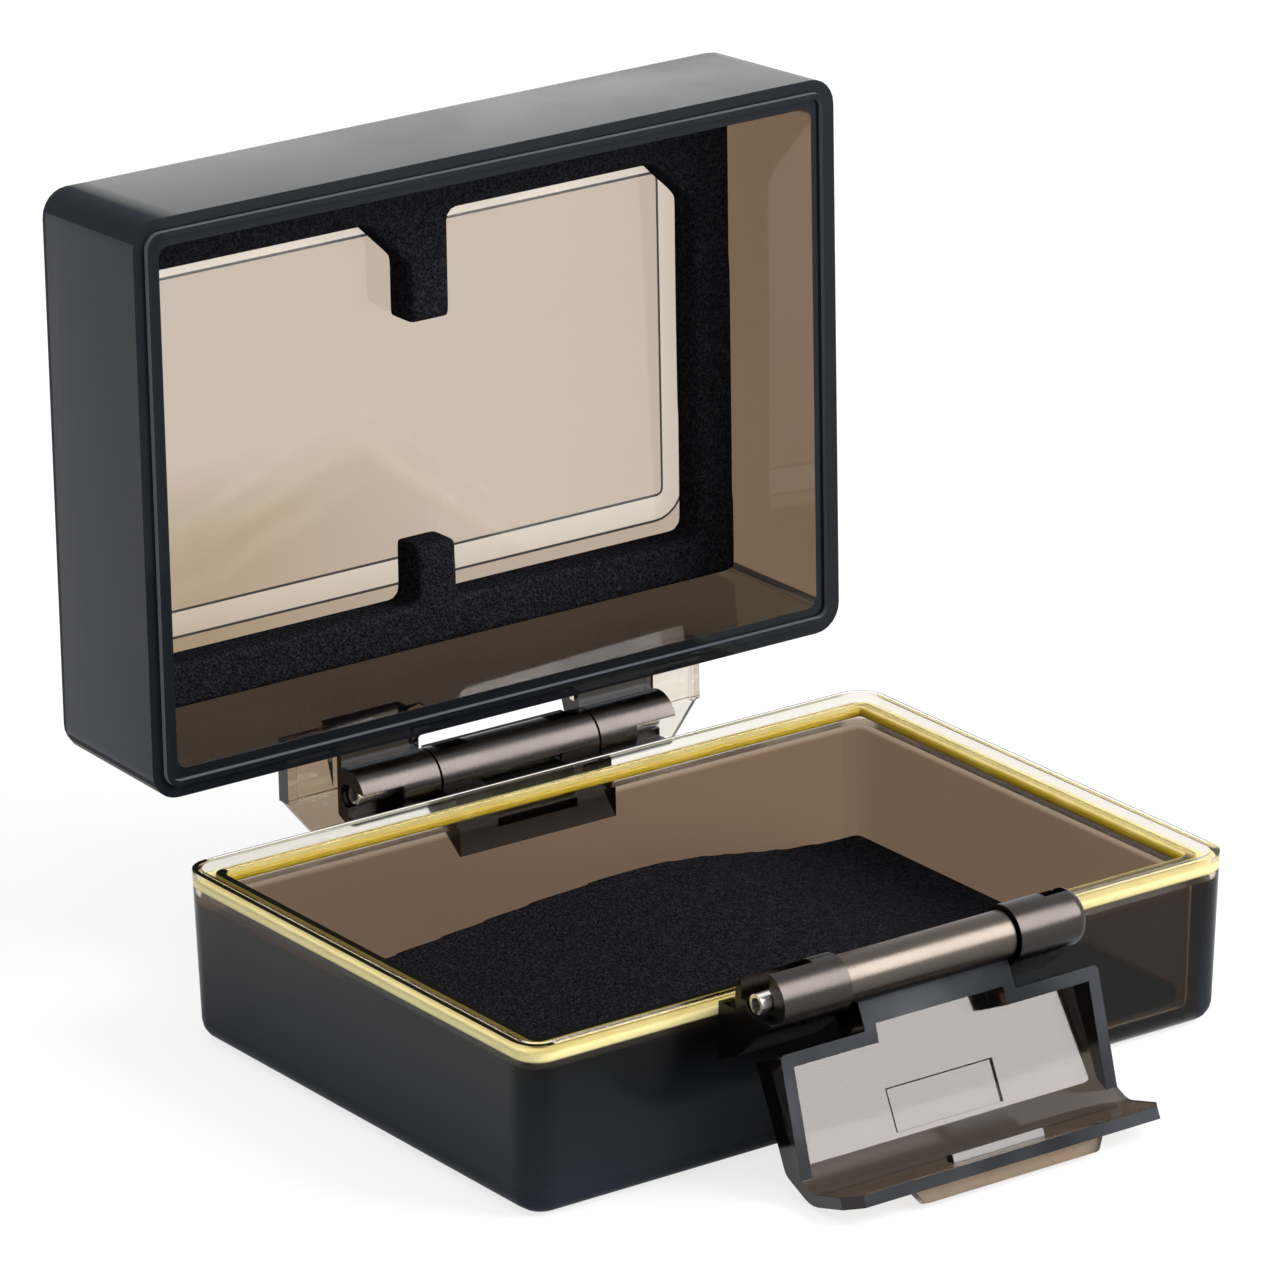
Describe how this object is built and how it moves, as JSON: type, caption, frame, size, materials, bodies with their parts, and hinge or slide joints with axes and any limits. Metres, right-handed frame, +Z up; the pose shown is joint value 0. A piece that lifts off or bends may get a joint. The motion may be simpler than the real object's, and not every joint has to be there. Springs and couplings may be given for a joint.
{
  "type": "battery case",
  "caption": "Clear-walled hinged box with a front latch, a rubber rim seal and foam that holds camera batteries in the lid.",
  "frame": {"origin": "centre of the base's underside, on the table", "axes": "+Z up, +Y towards the hinge, +X to the right of someone who faces the latch"},
  "size_m": [0.104, 0.1259, 0.1009],
  "materials": {
    "base_plastic": "smoky translucent plastic, glossy outside",
    "lid_plastic": "smoky translucent plastic, satin roof panel",
    "latch_plastic": "smoky translucent plastic, glossy",
    "seal_rubber": "smooth yellow rubber cord",
    "foam": "fine-celled black foam",
    "pin_steel": "bright rolled steel"
  },
  "bodies": {
    "base": {"base_shell": "base_plastic", "seal_ring": "seal_rubber", "base_foam_pad": "foam", "hinge_pin": "pin_steel", "latch_pin": "pin_steel"},
    "lid": {"lid_shell": "lid_plastic", "lid_foam_frame": "foam"},
    "latch": {"latch": "latch_plastic"}
  },
  "joints": [
    {"name": "lid_hinge", "type": "hinge", "parent": "base", "child": "lid", "pos_m": [0, 0.0421, 0.0224], "axis": [1, 0, 0], "range_deg": [-88.9, 91.1]},
    {"name": "latch_hinge", "type": "hinge", "parent": "base", "child": "latch", "pos_m": [0, -0.0432, 0.0231], "axis": [1, 0, 0], "range_deg": [-166, 10]}
  ]
}
